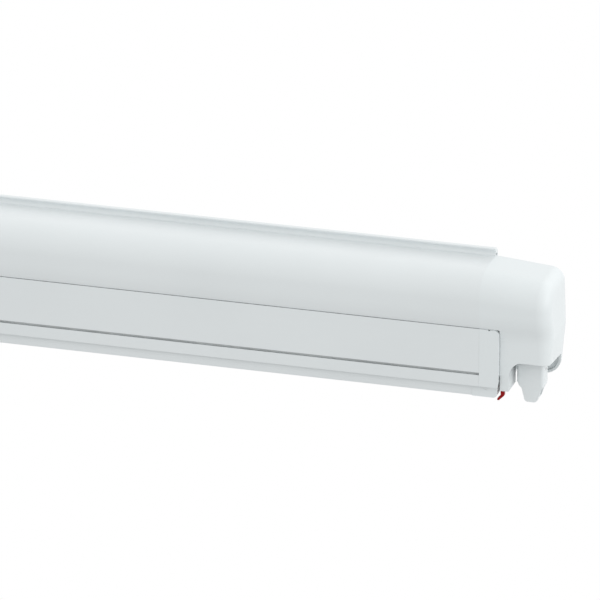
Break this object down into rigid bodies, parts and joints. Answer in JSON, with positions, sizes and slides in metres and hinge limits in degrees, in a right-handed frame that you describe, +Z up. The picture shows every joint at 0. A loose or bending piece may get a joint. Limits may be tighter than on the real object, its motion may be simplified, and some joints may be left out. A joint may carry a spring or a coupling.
{
  "type": "roll out awning",
  "caption": "Cassette roll out awning for a caravan or camper: extruded case, roller with fabric, folding arms, lead bar with support legs and crank eye.",
  "frame": {"origin": "middle of the middle wall bracket's back face, on the vehicle wall", "axes": "+X along the awning to the crank end, +Y into the wall, +Z up"},
  "size_m": [2.597, 0.0723, 0.1438],
  "materials": {
    "white_coated_aluminium": "satin",
    "white_plastic": "satin",
    "galvanised_steel": "satin",
    "bare_aluminium": "satin",
    "black_plastic": "matt",
    "awning_fabric": "matt",
    "red_plastic": "gloss"
  },
  "bodies": {
    "housing": {"casing": "white_coated_aluminium", "wall_brackets": "bare_aluminium", "lock_screws": "galvanised_steel", "cap_screws": "galvanised_steel", "shoulder_screws": "galvanised_steel", "end_cap_right": "white_plastic", "end_cap_left": "white_plastic", "gear_housing": "white_plastic", "roller_bearing_left": "white_plastic", "shoulder_bracket_right": "white_coated_aluminium", "shoulder_bracket_left": "white_coated_aluminium", "shoulder_pins": "galvanised_steel", "catch_pins": "galvanised_steel"},
    "roller": {"roller_tube": "galvanised_steel", "fabric_roll": "awning_fabric", "roller_plugs": "black_plastic", "bevel_wheel": "galvanised_steel"},
    "crank": {"crank_shaft": "galvanised_steel", "crank_eye": "white_plastic", "crank_eye_pin": "galvanised_steel"},
    "fabric_front": {"fabric_web": "awning_fabric"},
    "lead_bar": {"lead_bar": "white_coated_aluminium", "keder_rod": "awning_fabric", "lead_bar_cap_right": "white_plastic", "lead_bar_cap_left": "white_plastic", "wrist_bracket_right": "white_coated_aluminium", "wrist_bracket_left": "white_coated_aluminium", "wrist_pins": "galvanised_steel", "wrist_screws": "galvanised_steel", "leg_hinge_right": "galvanised_steel", "leg_hinge_left": "galvanised_steel", "leg_pins": "galvanised_steel"},
    "right_upper_arm": {"upper_arm_tube_right": "white_coated_aluminium", "arm_root_right": "white_coated_aluminium", "elbow_fork_right": "white_coated_aluminium", "elbow_pin_right": "galvanised_steel", "spring_and_cable_right": "galvanised_steel"},
    "right_forearm": {"forearm_tube_right": "white_coated_aluminium", "elbow_tongue_right": "white_coated_aluminium", "forearm_tip_right": "white_coated_aluminium"},
    "right_leg": {"outer_leg_right": "white_coated_aluminium", "leg_knuckle_right": "white_plastic"},
    "right_inner_leg": {"inner_leg_right": "bare_aluminium", "leg_tip_right": "black_plastic"},
    "right_foot": {"foot_right": "black_plastic"},
    "right_catch": {"leg_catch_right": "red_plastic"},
    "left_upper_arm": {"upper_arm_tube_left": "white_coated_aluminium", "arm_root_left": "white_coated_aluminium", "elbow_fork_left": "white_coated_aluminium", "elbow_pin_left": "galvanised_steel", "spring_and_cable_left": "galvanised_steel"},
    "left_forearm": {"forearm_tube_left": "white_coated_aluminium", "elbow_tongue_left": "white_coated_aluminium", "forearm_tip_left": "white_coated_aluminium"},
    "left_leg": {"outer_leg_left": "white_coated_aluminium", "leg_knuckle_left": "white_plastic"},
    "left_inner_leg": {"inner_leg_left": "bare_aluminium", "leg_tip_left": "black_plastic"},
    "left_foot": {"foot_left": "black_plastic"},
    "left_catch": {"leg_catch_left": "red_plastic"}
  },
  "joints": [
    {"name": "right_shoulder", "type": "hinge", "parent": "housing", "child": "right_upper_arm", "pos_m": [1.178, -0.0225, 0], "axis": [0, 0, 1], "range_deg": [0, 66]},
    {"name": "right_elbow", "type": "hinge", "parent": "right_upper_arm", "child": "right_forearm", "pos_m": [0.098, -0.03325, 0], "axis": [0, 0, -1], "range_deg": [0, 132]},
    {"name": "right_wrist", "type": "hinge", "parent": "right_forearm", "child": "lead_bar", "pos_m": [1.178, -0.044, 0], "axis": [0, 0, 1], "range_deg": [0, 66]},
    {"name": "left_shoulder", "type": "hinge", "parent": "housing", "child": "left_upper_arm", "pos_m": [-1.178, -0.0225, 0], "axis": [0, 0, -1], "range_deg": [0, 66]},
    {"name": "left_elbow", "type": "hinge", "parent": "left_upper_arm", "child": "left_forearm", "pos_m": [-0.098, -0.03325, 0], "axis": [0, 0, 1], "range_deg": [0, 132]},
    {"name": "right_leg_fold", "type": "hinge", "parent": "lead_bar", "child": "right_leg", "pos_m": [1.2315, -0.0565, -0.0576], "axis": [0, -1, 0], "range_deg": [0, 90]},
    {"name": "right_leg_telescope", "type": "slide", "parent": "right_leg", "child": "right_inner_leg", "axis": [-1, 0, 0], "range_m": [0, 0.86]},
    {"name": "right_foot_pivot", "type": "hinge", "parent": "right_inner_leg", "child": "right_foot", "pos_m": [0.1975, -0.0565, -0.0576], "axis": [0, -1, 0], "range_deg": [0, 90]},
    {"name": "right_catch_pivot", "type": "hinge", "parent": "housing", "child": "right_catch", "pos_m": [1.24835, -0.06125, -0.055], "axis": [0, -1, 0], "range_deg": [0, 20]},
    {"name": "left_leg_fold", "type": "hinge", "parent": "lead_bar", "child": "left_leg", "pos_m": [-1.2315, -0.0565, -0.0576], "axis": [0, 1, 0], "range_deg": [0, 90]},
    {"name": "left_leg_telescope", "type": "slide", "parent": "left_leg", "child": "left_inner_leg", "axis": [1, 0, 0], "range_m": [0, 0.86]},
    {"name": "left_foot_pivot", "type": "hinge", "parent": "left_inner_leg", "child": "left_foot", "pos_m": [-0.1975, -0.0565, -0.0576], "axis": [0, 1, 0], "range_deg": [0, 90]},
    {"name": "left_catch_pivot", "type": "hinge", "parent": "housing", "child": "left_catch", "pos_m": [-1.24835, -0.06125, -0.055], "axis": [0, 1, 0], "range_deg": [0, 20]},
    {"name": "fabric_run", "type": "slide", "parent": "housing", "child": "fabric_front", "axis": [0, -1, 0], "range_m": [0, 1.961]},
    {"name": "roller_turn", "type": "hinge", "parent": "housing", "child": "roller", "pos_m": [0, -0.0403, 0.029], "axis": [-1, 0, 0], "range_deg": [0, 4321.33]},
    {"name": "crank_turn", "type": "hinge", "parent": "housing", "child": "crank", "pos_m": [1.273, -0.0403, -0.04], "axis": [0, 0, 1], "range_deg": [0, 12963.99]}
  ],
  "couplings": [
    {"joint": "right_elbow", "follows": "right_shoulder", "ratio": 2},
    {"joint": "right_wrist", "follows": "right_shoulder", "ratio": 1},
    {"joint": "left_shoulder", "follows": "right_shoulder", "ratio": 1},
    {"joint": "left_elbow", "follows": "right_shoulder", "ratio": 2},
    {"joint": "right_leg_telescope", "follows": "right_leg_fold", "m_per_rad": 0.54749},
    {"joint": "left_leg_telescope", "follows": "left_leg_fold", "m_per_rad": 0.54749},
    {"joint": "fabric_run", "follows": "right_shoulder", "m_per_rad": 1.7019},
    {"joint": "roller_turn", "follows": "right_shoulder", "ratio": 65.46},
    {"joint": "crank_turn", "follows": "right_shoulder", "ratio": 196.38}
  ]
}
